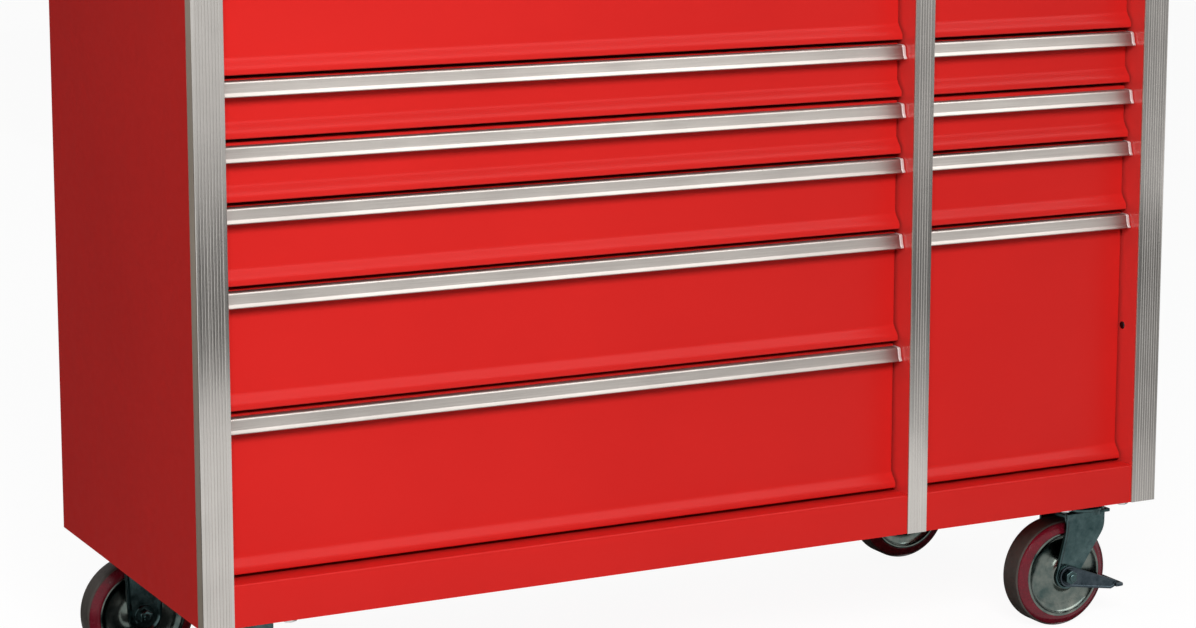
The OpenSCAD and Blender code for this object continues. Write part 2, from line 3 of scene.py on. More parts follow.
import bmesh
import bpy
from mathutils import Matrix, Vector


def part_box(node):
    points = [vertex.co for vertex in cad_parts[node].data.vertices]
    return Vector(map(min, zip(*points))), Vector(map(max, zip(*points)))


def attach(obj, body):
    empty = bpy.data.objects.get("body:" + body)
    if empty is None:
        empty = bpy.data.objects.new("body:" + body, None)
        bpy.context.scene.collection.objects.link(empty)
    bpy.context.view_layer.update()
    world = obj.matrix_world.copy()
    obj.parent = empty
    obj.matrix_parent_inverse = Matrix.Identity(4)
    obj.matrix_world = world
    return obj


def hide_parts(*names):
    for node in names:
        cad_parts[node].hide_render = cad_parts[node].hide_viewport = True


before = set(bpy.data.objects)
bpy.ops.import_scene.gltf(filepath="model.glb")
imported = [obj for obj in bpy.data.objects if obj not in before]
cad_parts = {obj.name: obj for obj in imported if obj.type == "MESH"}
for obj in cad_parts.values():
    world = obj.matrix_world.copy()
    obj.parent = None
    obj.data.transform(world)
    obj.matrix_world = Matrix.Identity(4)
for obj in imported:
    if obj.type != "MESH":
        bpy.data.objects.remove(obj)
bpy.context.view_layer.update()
for name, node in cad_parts.items():
    node.select_set(False)
drawerNames = [f"{bank}_{i}" for bank, count in (("left", 6), ("right", 5)) for i in range(1, count + 1)]
print("frame loaded:", len(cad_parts), "nodes")


# tools for making meshes

seedSize = 0.001  # the small plane that a section starts from
weldGap = 0.000005  # corners closer than this become one
near = 0.00001  # places closer than this are the same
shortEdge = 0.001  # an edge spans an axis if it runs further than this along it
facing = 0.9  # a face looks along a direction if its normal has this much of it
foldedSmooth = 35  # degrees, for folded sheet


def turns(start, step, count):  # angles of the points along an arc
    return [math.radians(start + step * k) for k in range(count)]


def shifted(points, first, second):
    return [(first + a, second + b) for a, b in points]


def toObject():
    if bpy.context.object and bpy.context.object.mode != "OBJECT":
        bpy.ops.object.mode_set(mode="OBJECT")


def toEdit():
    bpy.ops.object.mode_set(mode="EDIT")


def clearSelection():
    toObject()
    bpy.ops.object.select_all(action="DESELECT")


def only(piece):
    clearSelection()
    piece.select_set(True)
    bpy.context.view_layer.objects.active = piece


def applyPlace(piece):
    only(piece)
    bpy.ops.object.transform_apply(location=True, rotation=True, scale=True)


def named(name):  # the new primitive, with its place in its mesh
    piece = bpy.context.object
    piece.name = piece.data.name = name
    applyPlace(piece)
    return piece


def startPoint(name, at):  # one loose corner that a section is drawn from
    clearSelection()
    bpy.ops.mesh.primitive_plane_add(size=seedSize, location=at)
    piece = named(name)
    toEdit()
    bpy.ops.mesh.select_mode(type="VERT")
    bpy.ops.mesh.merge(type="CENTER")
    return piece


def traceSection(name, points, filled=False):
    piece = startPoint(name, points[0])
    for before, after in zip(points, points[1:]):
        step = Vector(after) - Vector(before)
        bpy.ops.mesh.extrude_vertices_move(TRANSFORM_OT_translate={"value": step})
    if filled:
        mesh = bmesh.from_edit_mesh(piece.data)
        for v in mesh.verts:
            v.select = len(v.link_edges) < 2
        mesh.select_flush_mode()
        bmesh.update_edit_mesh(piece.data)
        bpy.ops.mesh.edge_face_add()
        bpy.ops.mesh.select_all(action="SELECT")
        bpy.ops.mesh.edge_face_add()
    else:
        bpy.ops.mesh.select_all(action="SELECT")
    return piece


def drawOut(step):
    bpy.ops.mesh.extrude_region_move(TRANSFORM_OT_translate={"value": step})


def pickFaces(piece, test):
    mesh = bmesh.from_edit_mesh(piece.data)
    bpy.context.tool_settings.mesh_select_mode = (False, False, True)
    for f in mesh.faces:
        f.select = bool(test(f.normal))
    mesh.select_flush_mode()
    bmesh.update_edit_mesh(piece.data)


def pickEdges(piece, test):
    mesh = bmesh.from_edit_mesh(piece.data)
    bpy.ops.mesh.select_all(action="DESELECT")
    bpy.context.tool_settings.mesh_select_mode = (False, True, False)
    for e in mesh.edges:
        e.select = bool(test((e.verts[0].co + e.verts[1].co) / 2, e))
    bmesh.update_edit_mesh(piece.data)


def spans(edge, axis):
    return abs(edge.verts[0].co[axis] - edge.verts[1].co[axis]) > shortEdge


def bevelEdges(piece, test, offset, segments):
    toEdit()
    pickEdges(piece, test)
    bpy.ops.mesh.bevel(offset=offset, segments=segments, affect="EDGES")
    toObject()


def pressIn(piece, way, edge, slope, deep):  # sinks the face that looks that way along Y, inside its edge
    toEdit()
    pickFaces(piece, lambda n: n.y * way > facing)
    bpy.ops.mesh.inset(thickness=edge)
    bpy.ops.mesh.inset(thickness=slope)
    bpy.ops.transform.translate(value=(0, -way * deep, 0))
    toObject()


def tidyNormals(piece, towards=None):
    toEdit()
    bpy.ops.mesh.select_all(action="SELECT")
    bpy.ops.mesh.remove_doubles(threshold=weldGap)
    bpy.ops.mesh.normals_make_consistent(inside=False)
    if towards is not None:  # an open sheet: its largest face looks that way
        mesh = bmesh.from_edit_mesh(piece.data)
        largest = max(mesh.faces, key=lambda f: f.calc_area() * abs(f.normal.dot(Vector(towards))))
        if largest.normal.dot(Vector(towards)) < 0:
            bpy.ops.mesh.flip_normals()
    toObject()


def useModifier(piece, kind, **values):
    only(piece)
    modifier = piece.modifiers.new(kind.title(), kind)
    for key, value in values.items():
        setattr(modifier, key, value)
    bpy.ops.object.modifier_apply(modifier=modifier.name)


def roundEdges(piece, width, segments=2, angle=30):
    useModifier(piece, "BEVEL", width=width, segments=segments, limit_method="ANGLE",
                angle_limit=math.radians(angle), harden_normals=False)


def thicken(piece, thickness):
    useModifier(piece, "SOLIDIFY", thickness=thickness, offset=-1, use_even_offset=True)


def smooth(piece, angle=30):
    only(piece)
    bpy.ops.object.shade_smooth_by_angle(angle=math.radians(angle))


def addBlock(name, low, high):
    clearSelection()
    low, high = Vector(low), Vector(high)
    bpy.ops.mesh.primitive_cube_add(size=1, location=(low + high) / 2, scale=high - low)
    return named(name)


def addRod(name, start, end, radius, vertices):
    clearSelection()
    start, end = Vector(start), Vector(end)
    way = end - start
    bpy.ops.mesh.primitive_cylinder_add(
        vertices=vertices, radius=radius, depth=way.length, location=(start + end) / 2,
        rotation=way.to_track_quat("Z", "Y").to_euler())
    return named(name)


def turnSection(name, points, centre, axis, steps):  # a section drawn in the axis's plane, spun round
    piece = traceSection(name, points)
    bpy.ops.mesh.spin(steps=steps, angle=math.tau, center=centre, axis=axis)
    tidyNormals(piece)
    return piece


def joined(name, parts):
    only(parts[0])
    for part in parts[1:]:
        part.select_set(True)
    bpy.ops.object.join()
    parts[0].name = parts[0].data.name = name
    return parts[0]


def place(piece, body, finish, nodes=()):
    piece.data.materials.clear()
    piece.data.materials.append(finish)
    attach(piece, body)
    if nodes:
        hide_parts(*nodes)


def secondFinish(piece, finish, test):
    piece.data.materials.append(finish)
    for face in piece.data.polygons:
        if test(face):
            face.material_index = 1


# camera

view = {"standsAt": (-1.940, -3.637, 1.2555), "turn": 27.19, "tilt": 9.08, "lens": 91.2, "sensor": 36.0,
        "shiftDown": 0.08, "farthest": 200}
cameraData = bpy.data.cameras.new("camera")
camera = bpy.data.objects.new("camera", cameraData)
bpy.context.collection.objects.link(camera)
camera.location = view["standsAt"]
camera.rotation_euler = (math.radians(90 - view["tilt"]), 0, math.radians(-view["turn"]))
cameraData.lens, cameraData.sensor_width = view["lens"], view["sensor"]
cameraData.shift_y = -view["shiftDown"]
cameraData.clip_end = view["farthest"]
bpy.context.scene.camera = camera
bpy.context.scene.view_settings.view_transform = "Standard"
print("camera set")


# finishes

noiseLook = {"toneDetail": 3, "hazeDetail": 4, "peelDetail": 2, "peelHeight": 0.0004, "band": (0.3, 0.7),
             "grainDetail": 4, "grainRoughness": 0.65, "grainHeight": 0.0003, "cloudDetail": 3,
             "sumBand": (0.6, 1.4)}


def newFinish(name):
    finish = bpy.data.materials.new(name)
    finish.use_nodes = True
    nodes, links = finish.node_tree.nodes, finish.node_tree.links
    return finish, nodes, links, nodes["Principled BSDF"]


def objectPattern(nodes, links, stretch):  # Object coordinates, stretched along the grain
    coordinates = nodes.new("ShaderNodeTexCoord")
    mapping = nodes.new("ShaderNodeMapping")
    mapping.inputs["Scale"].default_value = stretch
    links.new(coordinates.outputs["Object"], mapping.inputs["Vector"])
    return mapping.outputs["Vector"]


def addNoise(nodes, links, vector, scale, detail, roughness=0.5):
    noise = nodes.new("ShaderNodeTexNoise")
    noise.inputs["Scale"].default_value = scale
    noise.inputs["Detail"].default_value = detail
    noise.inputs["Roughness"].default_value = roughness
    links.new(vector, noise.inputs["Vector"])
    return noise.outputs["Fac"]


def rangeOf(nodes, links, value, low, high, band):  # the band of the noise becomes low to high
    spread = nodes.new("ShaderNodeMapRange")
    spread.inputs["From Min"].default_value = band[0]
    spread.inputs["From Max"].default_value = band[1]
    spread.inputs["To Min"].default_value = low
    spread.inputs["To Max"].default_value = high
    links.new(value, spread.inputs["Value"])
    return spread.outputs["Result"]


def blendColours(nodes, links, factor, first, second):
    mix = nodes.new("ShaderNodeMix")
    mix.data_type = "RGBA"
    mix.inputs["A"].default_value = (*first, 1)
    mix.inputs["B"].default_value = (*second, 1)
    links.new(factor, mix.inputs["Factor"])
    return mix.outputs["Result"]


def addBump(nodes, links, shader, height, strength, distance):
    bump = nodes.new("ShaderNodeBump")
    bump.inputs["Strength"].default_value = strength
    bump.inputs["Distance"].default_value = distance
    links.new(height, bump.inputs["Height"])
    links.new(bump.outputs["Normal"], shader.inputs["Normal"])


def paintFinish(name, look):
    finish, nodes, links, shader = newFinish(name)
    vector = objectPattern(nodes, links, (1, 1, 1))
    tone = addNoise(nodes, links, vector, look["toneScale"], noiseLook["toneDetail"])
    haze = addNoise(nodes, links, vector, look["hazeScale"], noiseLook["hazeDetail"])
    peel = addNoise(nodes, links, vector, look["peelScale"], noiseLook["peelDetail"])
    links.new(blendColours(nodes, links, tone, look["dark"], look["light"]), shader.inputs["Base Color"])
    links.new(rangeOf(nodes, links, haze, *look["gloss"], noiseLook["band"]), shader.inputs["Roughness"])
    addBump(nodes, links, shader, peel, look["peel"], noiseLook["peelHeight"])
    shader.inputs["Specular IOR Level"].default_value = look["shine"]
    return finish


def metalFinish(name, look):
    finish, nodes, links, shader = newFinish(name)
    stretched = objectPattern(nodes, links, look["grain"])
    grain = addNoise(nodes, links, stretched, 1.0, noiseLook["grainDetail"], noiseLook["grainRoughness"])
    cloud = addNoise(nodes, links, objectPattern(nodes, links, (1, 1, 1)), look["cloudScale"],
                     noiseLook["cloudDetail"])
    both = nodes.new("ShaderNodeMath")
    both.operation = "ADD"
    links.new(grain, both.inputs[0])
    links.new(cloud, both.inputs[1])
    tone = rangeOf(nodes, links, both.outputs[0], 0, 1, noiseLook["sumBand"])
    links.new(blendColours(nodes, links, tone, look["dark"], look["light"]), shader.inputs["Base Color"])
    links.new(rangeOf(nodes, links, grain, *look["gloss"], noiseLook["band"]), shader.inputs["Roughness"])
    addBump(nodes, links, shader, grain, look["grainDepth"], noiseLook["grainHeight"])
    shader.inputs["Metallic"].default_value = look["metal"]
    return finish


redPaint = paintFinish("redPaint", {
    "dark": (0.60, 0.016, 0.014), "light": (0.70, 0.022, 0.018), "toneScale": 3.0, "hazeScale": 40.0,
    "shine": 0.09, "gloss": (0.30, 0.40), "peelScale": 420.0, "peel": 0.06})
# a glossier copy of the red paint for the posts; its lighter, pinker colour is painted light, standing for
# reflection on the shaded jamb faces
postPaintPaintedLight = paintFinish("postPaintPaintedLight", {
    "dark": (0.62, 0.036, 0.031), "light": (0.73, 0.043, 0.038), "toneScale": 3.0, "hazeScale": 40.0,
    "shine": 0.5, "gloss": (0.05, 0.11), "peelScale": 420.0, "peel": 0.02})
trimAlloy = metalFinish("trimAlloy", {
    "dark": (0.43, 0.41, 0.385), "light": (0.63, 0.60, 0.565), "grain": (600, 600, 1.4), "cloudScale": 7.0,
    "gloss": (0.11, 0.19), "grainDepth": 0.05, "metal": 1.0})
# a rougher alloy for the trim flanks; its warm brown tint is a painted reflection of the red side panel
flankAlloyPaintedTint = metalFinish("flankAlloyPaintedTint", {
    "dark": (0.40, 0.34, 0.28), "light": (0.56, 0.48, 0.40), "grain": (600, 600, 1.4), "cloudScale": 7.0,
    "gloss": (0.55, 0.68), "grainDepth": 0.05, "metal": 1.0})
pullAlloy = metalFinish("pullAlloy", {
    "dark": (0.31, 0.285, 0.265), "light": (0.46, 0.43, 0.40), "grain": (9, 900, 900), "cloudScale": 7.0,
    "gloss": (0.40, 0.54), "grainDepth": 0.1, "metal": 1.0})
# a lighter finish for the pull caps, a painted highlight at the bright pull ends
capAlloyPaintedHighlight = metalFinish("capAlloyPaintedHighlight", {
    "dark": (0.66, 0.62, 0.60), "light": (0.78, 0.74, 0.72), "grain": (300, 300, 300), "cloudScale": 7.0,
    "gloss": (0.35, 0.45), "grainDepth": 0.03, "metal": 0.3})
zincSteel = metalFinish("zincSteel", {
    "dark": (0.50, 0.53, 0.54), "light": (0.70, 0.71, 0.70), "grain": (160, 160, 160), "cloudScale": 26.0,
    "gloss": (0.24, 0.40), "grainDepth": 0.08, "metal": 1.0})
casterSteel = metalFinish("casterSteel", {
    "dark": (0.012, 0.032, 0.034), "light": (0.085, 0.13, 0.13), "grain": (90, 90, 90), "cloudScale": 40.0,
    "gloss": (0.12, 0.26), "grainDepth": 0.15, "metal": 1.0})
discSteel = metalFinish("discSteel", {
    "dark": (0.05, 0.08, 0.076), "light": (0.20, 0.215, 0.19), "grain": (60, 60, 60), "cloudScale": 30.0,
    "gloss": (0.14, 0.28), "grainDepth": 0.12, "metal": 1.0})
brakeSteel = metalFinish("brakeSteel", {
    "dark": (0.014, 0.024, 0.030), "light": (0.07, 0.09, 0.105), "grain": (120, 120, 120), "cloudScale": 50.0,
    "gloss": (0.22, 0.40), "grainDepth": 0.12, "metal": 1.0})
treadRubber = paintFinish("treadRubber", {
    "dark": (0.030, 0.026, 0.022), "light": (0.085, 0.074, 0.064), "toneScale": 60.0, "hazeScale": 180.0,
    "shine": 0.4, "gloss": (0.38, 0.62), "peelScale": 700.0, "peel": 0.25})
ringRubber = paintFinish("ringRubber", {
    "dark": (0.095, 0.004, 0.011), "light": (0.185, 0.008, 0.021), "toneScale": 60.0, "hazeScale": 120.0,
    "shine": 0.30, "gloss": (0.18, 0.34), "peelScale": 700.0, "peel": 0.04})
print("finishes made")

# finishes of the CAD nodes that keep their solids: zinc, where no paint is named

# the right panel and the partition get the red paint copy with painted light
nodePaint = {"side_panel_left": redPaint, "side_panel_right": postPaintPaintedLight, "back_panel": redPaint,
             "base_plate": redPaint, "top_rail": redPaint, "partition": postPaintPaintedLight}
for name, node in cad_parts.items():
    node.data.materials.clear()
    node.data.materials.append(nodePaint.get(name, zincSteel))
print("CAD nodes finished")

# drawers: a folded front with a flared hem, a tray with rolled rims and a hook behind it

drawerLook = {"hemOut": 0.010, "hemHeight": 0.005, "flareHeight": 0.017, "flareSteps": 12, "fold": 0.012,
              "sheet": 0.0012, "foldRadius": 0.0018, "lip": 0.005, "trayInset": 0.0097, "trayGap": 0.0014,
              "trayLength": 0.470, "trayFoot": 0.016, "trayTop": 0.010, "rim": 0.007, "rimDrop": 0.006,
              "hookWidth": 0.024, "hookAt": 0.024, "hookDrop": 0.013}


def makeDrawer(name):
    look = drawerLook
    low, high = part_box(f"drawer_{name}")
    panel, hem = low.y + look["hemOut"], low.y
    flareFoot = low.z + look["hemHeight"]
    flareTop = flareFoot + look["flareHeight"]
    x = low.x
    flare = []
    for i in range(look["flareSteps"] + 1):
        s = i / look["flareSteps"]
        eased = 3 * s * s - 2 * s ** 3
        flare.append((x, panel + (hem - panel) * eased, flareTop + (flareFoot - flareTop) * s))
    front = traceSection("front", [(x, panel + look["fold"], high.z), (x, panel, high.z)] + flare
                         + [(x, hem, low.z), (x, hem + look["lip"], low.z)])
    drawOut((high.x - low.x, 0, 0))
    for edge in (low.x, high.x):  # folds down both sides of the panel
        pickEdges(front, lambda c, e: abs(c.x - edge) < near and abs(c.y - panel) < near and c.z > flareTop)
        drawOut((0, look["fold"], 0))
    tidyNormals(front, (0, -1, 0))
    roundEdges(front, look["foldRadius"], segments=3)
    thicken(front, look["sheet"])

    trayLow = Vector((low.x + look["trayInset"], panel + look["trayGap"], low.z + look["trayFoot"]))
    trayHigh = Vector((high.x - look["trayInset"], panel + look["trayLength"], high.z - look["trayTop"]))
    tray = addBlock("tray", trayLow, trayHigh)
    centre = (trayLow + trayHigh) / 2
    size = trayHigh - trayLow
    toEdit()
    pickFaces(tray, lambda n: n.z > facing)
    bpy.ops.mesh.delete(type="FACE")
    pickEdges(tray, lambda c, e: e.is_boundary)
    bpy.ops.mesh.extrude_edges_move()
    bpy.ops.transform.resize(value=(1 - 2 * look["rim"] / size.x, 1 - 2 * look["rim"] / size.y, 1),
                             center_override=(centre.x, centre.y, trayHigh.z))
    bpy.ops.mesh.extrude_edges_move(TRANSFORM_OT_translate={"value": (0, 0, -look["rimDrop"])})
    tidyNormals(tray, (0, 0, -1))
    roundEdges(tray, look["foldRadius"])
    thicken(tray, look["sheet"])

    hookX = trayLow.x + look["hookAt"] - look["hookWidth"] / 2
    hook = traceSection("hook", [(hookX, trayHigh.y - look["sheet"], trayHigh.z), (hookX, high.y, trayHigh.z),
                                 (hookX, high.y, trayHigh.z - look["hookDrop"])])
    drawOut((look["hookWidth"], 0, 0))
    tidyNormals(hook, (0, 0, 1))
    roundEdges(hook, look["foldRadius"])
    thicken(hook, look["sheet"])
    piece = joined(f"drawerBox_{name}", [front, tray, hook])
    smooth(piece, foldedSmooth)
    place(piece, f"drawer_{name}", redPaint, [f"drawer_{name}"])


for name in drawerNames:
    makeDrawer(name)
print("drawers made")

# pulls: a hooked extrusion with a cap in each end

pullLook = {"topOut": 0.0150, "wall": 0.002, "corner": 0.0012, "radius": 0.0005, "headRound": 0.0036,
            "kneeDown": 0.0138, "kneeOut": 0.0022, "cap": 0.005, "capRadius": 0.0007, "sharpest": 20}


def makePull(name):
    look = pullLook
    low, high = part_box(f"pull_{name}")
    wall, corner, headRound = look["wall"], look["corner"], look["headRound"]
    back, toe, head = high.y, low.y, high.y - look["topOut"]
    knee = (head - look["kneeOut"], high.z - look["kneeDown"])
    rounded = [(head + headRound * (1 - math.cos(a)), high.z - headRound * (1 - math.sin(a)))
               for a in turns(90, -22.5, 5)]
    outer = [(back, high.z)] + rounded + [knee, (toe, low.z + corner), (toe + corner, low.z),
                                          (toe + wall + corner, low.z)]
    inner = [(knee[0] + wall, knee[1]), (head + wall, high.z - wall), (back - wall, high.z - wall),
             (back - wall, low.z + wall), (back, low.z + wall)]
    bar = traceSection("bar", [(low.x + look["cap"], y, z) for y, z in outer + inner], True)
    drawOut((high.x - low.x - 2 * look["cap"], 0, 0))
    tidyNormals(bar)
    roundEdges(bar, look["radius"], angle=look["sharpest"])
    caps = []
    for start in (low.x, high.x - look["cap"]):
        cap = traceSection("cap", [(start, y, z) for y, z in outer + inner[-1:]], True)
        drawOut((look["cap"], 0, 0))
        tidyNormals(cap)
        roundEdges(cap, look["capRadius"], angle=look["sharpest"])
        caps.append(cap)
    piece = joined(f"pullBar_{name}", [bar] + caps)
    smooth(piece)
    place(piece, f"drawer_{name}", pullAlloy, [f"pull_{name}"])
    middle, reach = (low.x + high.x) / 2, (high.x - low.x) / 2 - look["cap"]
    # the caps get a lighter, half-metal finish: a painted highlight for the bright pull ends
    secondFinish(piece, capAlloyPaintedHighlight, lambda face: abs(face.center.x - middle) > reach)


for name in drawerNames:
    makePull(name)
print("pulls made")

# trims: fluted strips, the outer two wrapped round the corners

trimLook = {"thick": 0.0025, "pitch": 0.004, "fluteHalf": 0.0006, "fluteDeep": 0.0004,
            "cornerRadius": 0.0015, "edge": 0.0003, "sharpest": 50, "flankArea": 0.001, "slack": 0.0001}


def fluteCorners(start, end, face):  # corners of the flutes across a face, from start to end
    look = trimLook
    width = abs(end - start)
    count = int((width - 2 * look["pitch"]) / look["pitch"] + look["slack"])
    first = (width - (count - 1) * look["pitch"]) / 2
    way = 1 if end > start else -1
    corners = []
    for i in range(count):
        middle = start + way * (first + i * look["pitch"])
        half = way * look["fluteHalf"]
        corners += [(middle - half, face), (middle - half, face + look["fluteDeep"]),
                    (middle + half, face + look["fluteDeep"]), (middle + half, face)]
    return corners


def makeTrim(node, bend):
    look = trimLook
    low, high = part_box(node)
    thick = look["thick"]
    if bend == 0:
        outline = [(low.x, low.y)] + fluteCorners(low.x, high.x, low.y)
        outline += [(high.x, low.y), (high.x, high.y), (low.x, high.y)]
    else:
        outer, inner = (low.x, high.x) if bend < 0 else (high.x, low.x)
        way = 1 if bend < 0 else -1
        r = look["cornerRadius"]
        arc = [(outer + way * r * (1 - math.sin(a)), low.y + r * (1 - math.cos(a)))
               for a in turns(90, -22.5, 5)]
        outline = [(outer, high.y)] + arc + fluteCorners(outer, inner, low.y)
        outline += [(inner, low.y), (inner, low.y + thick), (outer + way * thick, low.y + thick),
                    (outer + way * thick, high.y)]
    piece = traceSection(node + "_strip", [(x, y, low.z) for x, y in outline], True)
    drawOut((0, 0, high.z - low.z))
    tidyNormals(piece)
    roundEdges(piece, look["edge"], segments=1, angle=look["sharpest"])
    smooth(piece)
    place(piece, "cabinet", trimAlloy, [node])
    # the flanks get a rougher finish than the brushed face, tinted warm brown: a painted reflection of the
    # red side panel
    secondFinish(piece, flankAlloyPaintedTint,
                 lambda face: abs(face.normal.x) > facing and face.area > look["flankArea"])


for node, bend in (("trim_left", -1), ("trim_center", 0), ("trim_right", 1)):
    makeTrim(node, bend)
print("trims made")

# kick rail and top panel, folded with round edges

railLook = {"fold": 0.008, "sheet": 0.0015, "radius": 0.003}


def makeKickRail():
    look = railLook
    low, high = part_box("kick_rail")
    piece = traceSection("kickRail", [(low.x, low.y, low.z), (low.x, low.y, high.z), (low.x, high.y, high.z),
                                      (low.x, high.y, high.z - look["fold"])])
    drawOut((high.x - low.x, 0, 0))
    tidyNormals(piece, (0, -1, 0))
    roundEdges(piece, look["radius"], segments=4)
    thicken(piece, look["sheet"])
    smooth(piece, foldedSmooth)
    place(piece, "cabinet", redPaint, ["kick_rail"])


topLook = {"sheet": 0.0015, "radius": 0.004, "hem": 0.010}


def makeTopPanel():
    look = topLook
    low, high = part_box("top_panel")
    piece = addBlock("topPanel", low, high)
    toEdit()
    pickFaces(piece, lambda n: n.z < -facing)
    bpy.ops.mesh.inset(thickness=look["hem"])
    bpy.ops.mesh.delete(type="FACE")
    tidyNormals(piece, (0, 0, 1))
    roundEdges(piece, look["radius"], segments=4)
    thicken(piece, look["sheet"])
    smooth(piece, foldedSmooth)
    place(piece, "cabinet", redPaint, ["top_panel"])


makeKickRail()
makeTopPanel()
print("rail and top made")

# wheels: a tread with round shoulders, a red ring on each side and a dished disc

wheelNames = ["front_left", "rear_left", "front_right", "rear_right"]
wheelLook = {
    "treadHalf": 0.0172, "shoulder": 0.0035, "core": 0.0606, "sideHalf": 0.0250, "ledge": 0.0022,
    "lip": 0.0240, "webHalf": 0.0172, "hubHalf": 0.0275, "steps": 96, "smooth": 40,
    "ringTop": (-0.0017, 0.0004), "ringFoot": 0.0004, "ringDeep": 0.0022,
    # share of the way from the ring's top to its foot, height
    "ringBulge": ((0.03, -0.0008), (0.10, 0.0), (0.35, 0.0007), (0.70, 0.0006), (0.93, 0.0), (1.0, -0.0010)),
    # radius and place along the axle, from the core and the lip, from the web, and from the hub's end
    "rim": ((0.0002, -0.0030), (0.0004, -0.0006), (-0.0003, 0.0005), (-0.0018, 0.0009), (-0.0034, 0.0004),
            (-0.0044, -0.0010)),
    "dish": ((0.0535, 0.0030), (0.0500, 0.0014), (0.0450, 0.0004), (0.0400, -0.0001), (0.0350, 0.0),
             (0.0305, 0.0006), (0.0268, 0.0020), (0.0236, 0.0045), (0.0211, 0.0076)),
    "hub": ((0.0202, -0.0010), (0.0193, 0.0), (0.0105, 0.0), (0.0100, -0.0012), (0.0063, -0.0012))}


def turnRing(name, centre, profile):  # a closed profile spun round the axle
    points = [(centre.x, centre.y + along, centre.z + radius) for radius, along in profile + profile[:1]]
    return turnSection(name, points, centre, (0, 1, 0), wheelLook["steps"])


def makeWheel(name):
    look = wheelLook
    low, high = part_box(f"wheel_{name}")
    centre = (low + high) / 2
    radius = (high.z - low.z) / 2
    half, shoulder, core, sideHalf = look["treadHalf"], look["shoulder"], look["core"], look["sideHalf"]
    side = [(radius - shoulder * (1 - math.cos(a)), half - shoulder * (1 - math.sin(a)))
            for a in turns(0, 15, 4)]
    side.append((core, sideHalf - look["ledge"]))
    tyre = turnRing(f"tyre_{name}", centre, [(r, -y) for r, y in reversed(side)] + [(radius, 0)] + side)
    smooth(tyre, look["smooth"])
    place(tyre, f"wheel_{name}", treadRubber, [f"wheel_{name}"])

    top = Vector((radius + look["ringTop"][0], half + look["ringTop"][1]))
    foot = Vector((core + look["ringFoot"], sideHalf))
    out = Vector((foot.y - top.y, top.x - foot.x)).normalized()
    outline = [top.lerp(foot, share) + out * height for share, height in look["ringBulge"]]
    outline += [foot - out * look["ringDeep"], top - out * look["ringDeep"]]
    rings = [turnRing("ring", centre, [(r, way * y) for r, y in outline]) for way in (-1, 1)]
    ring = joined(f"tyreRing_{name}", rings)
    smooth(ring, look["smooth"])
    place(ring, f"wheel_{name}", ringRubber)

    side = shifted(look["rim"], core, look["lip"]) + shifted(look["dish"], 0, look["webHalf"])
    side += shifted(look["hub"], 0, look["hubHalf"])
    disc = turnRing(f"wheelDisc_{name}", centre, side + [(r, -y) for r, y in reversed(side)])
    smooth(disc)
    place(disc, f"wheel_{name}", discSteel)


for name in wheelNames:
    makeWheel(name)
print("wheels made")

# casters: pressed forks with a raised edge, bearings, plates, axle bolts and brakes

hexLook = {"inset": 0.0014, "rise": 0.0007, "round": 0.0003, "sharpest": 10}


def hexHead(name, start, way, radius, height):
    look = hexLook
    start, way = Vector(start), Vector(way)
    head = addRod(name, start, start + way * (height - look["rise"]), radius, vertices=6)
    toEdit()
    pickFaces(head, lambda n: n.dot(way) > facing)
    bpy.ops.mesh.inset(thickness=look["inset"])
    bpy.ops.transform.translate(value=way * look["rise"])
    toObject()
    roundEdges(head, look["round"], segments=1, angle=look["sharpest"])
    return head


def turnedRod(name, foot, profile, axis, steps=48):  # the profile holds radius and height along the axis
    foot, axis = Vector(foot), Vector(axis)
    across = Vector((1, 0, 0)) if abs(axis.x) < 0.5 else Vector((0, 0, 1))
    points = [tuple(foot + across * radius + axis * height) for radius, height in profile]
    return turnSection(name, points, foot, axis, steps)


casterLook = {
    "axle": 0.0762, "legInner": 0.028, "sheet": 0.005, "foot": 0.019, "rigidFoot": 0.0235,
    "legWidth": 0.066, "rigidWidth": 0.058, "shoulderAt": 0.72, "rigidShoulder": 0.84, "ease": 0.010,
    "edge": 0.0026, "slope": 0.0040, "press": 0.0030, "round": 0.0007, "sharpest": 40,
    "lean": 0.030, "trail": 0.040, "crown": 0.160, "bridgeHalf": 0.036, "bridgeRound": 0.0012,
    "plateFoot": 0.179, "plateTop": 0.184, "plateSize": (0.114, 0.102), "plateCorner": 0.009,
    "plateRound": 0.0008, "headRadius": 0.010, "headHeight": 0.007, "axleRadius": 0.006,
    "axleGap": 0.00005, "brakeRoom": 0.0006, "pinDrop": 0.0073, "pinSteps": 24, "raceHeight": 0.007,
    # radius and height
    "boss": ((0.0, 0.0), (0.0150, 0.0), (0.0149, 0.0018), (0.0146, 0.0027), (0.0142, 0.0030),
             (0.0136, 0.0030), (0.0, 0.0030)),
    "stub": ((0.0, 0.0), (0.0048, 0.0), (0.0048, 0.0016), (0.0040, 0.0024), (0.0, 0.0024)),
    "kingpin": ((0.0, 0.0), (0.0052, 0.0), (0.006, 0.0008), (0.006, 0.026), (0.0, 0.026)),
    "upperRace": ((0.0, 0.0), (0.0330, 0.0), (0.0340, 0.001), (0.0340, 0.0040), (0.0328, 0.0058),
                  (0.0305, 0.007), (0.0, 0.007)),
    "lowerRace": ((0.0062, 0.0), (0.0360, 0.0), (0.0360, 0.005), (0.0370, 0.006), (0.0370, 0.0090),
                  (0.0358, 0.0108), (0.0340, 0.0117), (0.0062, 0.0117), (0.0062, 0.0))}


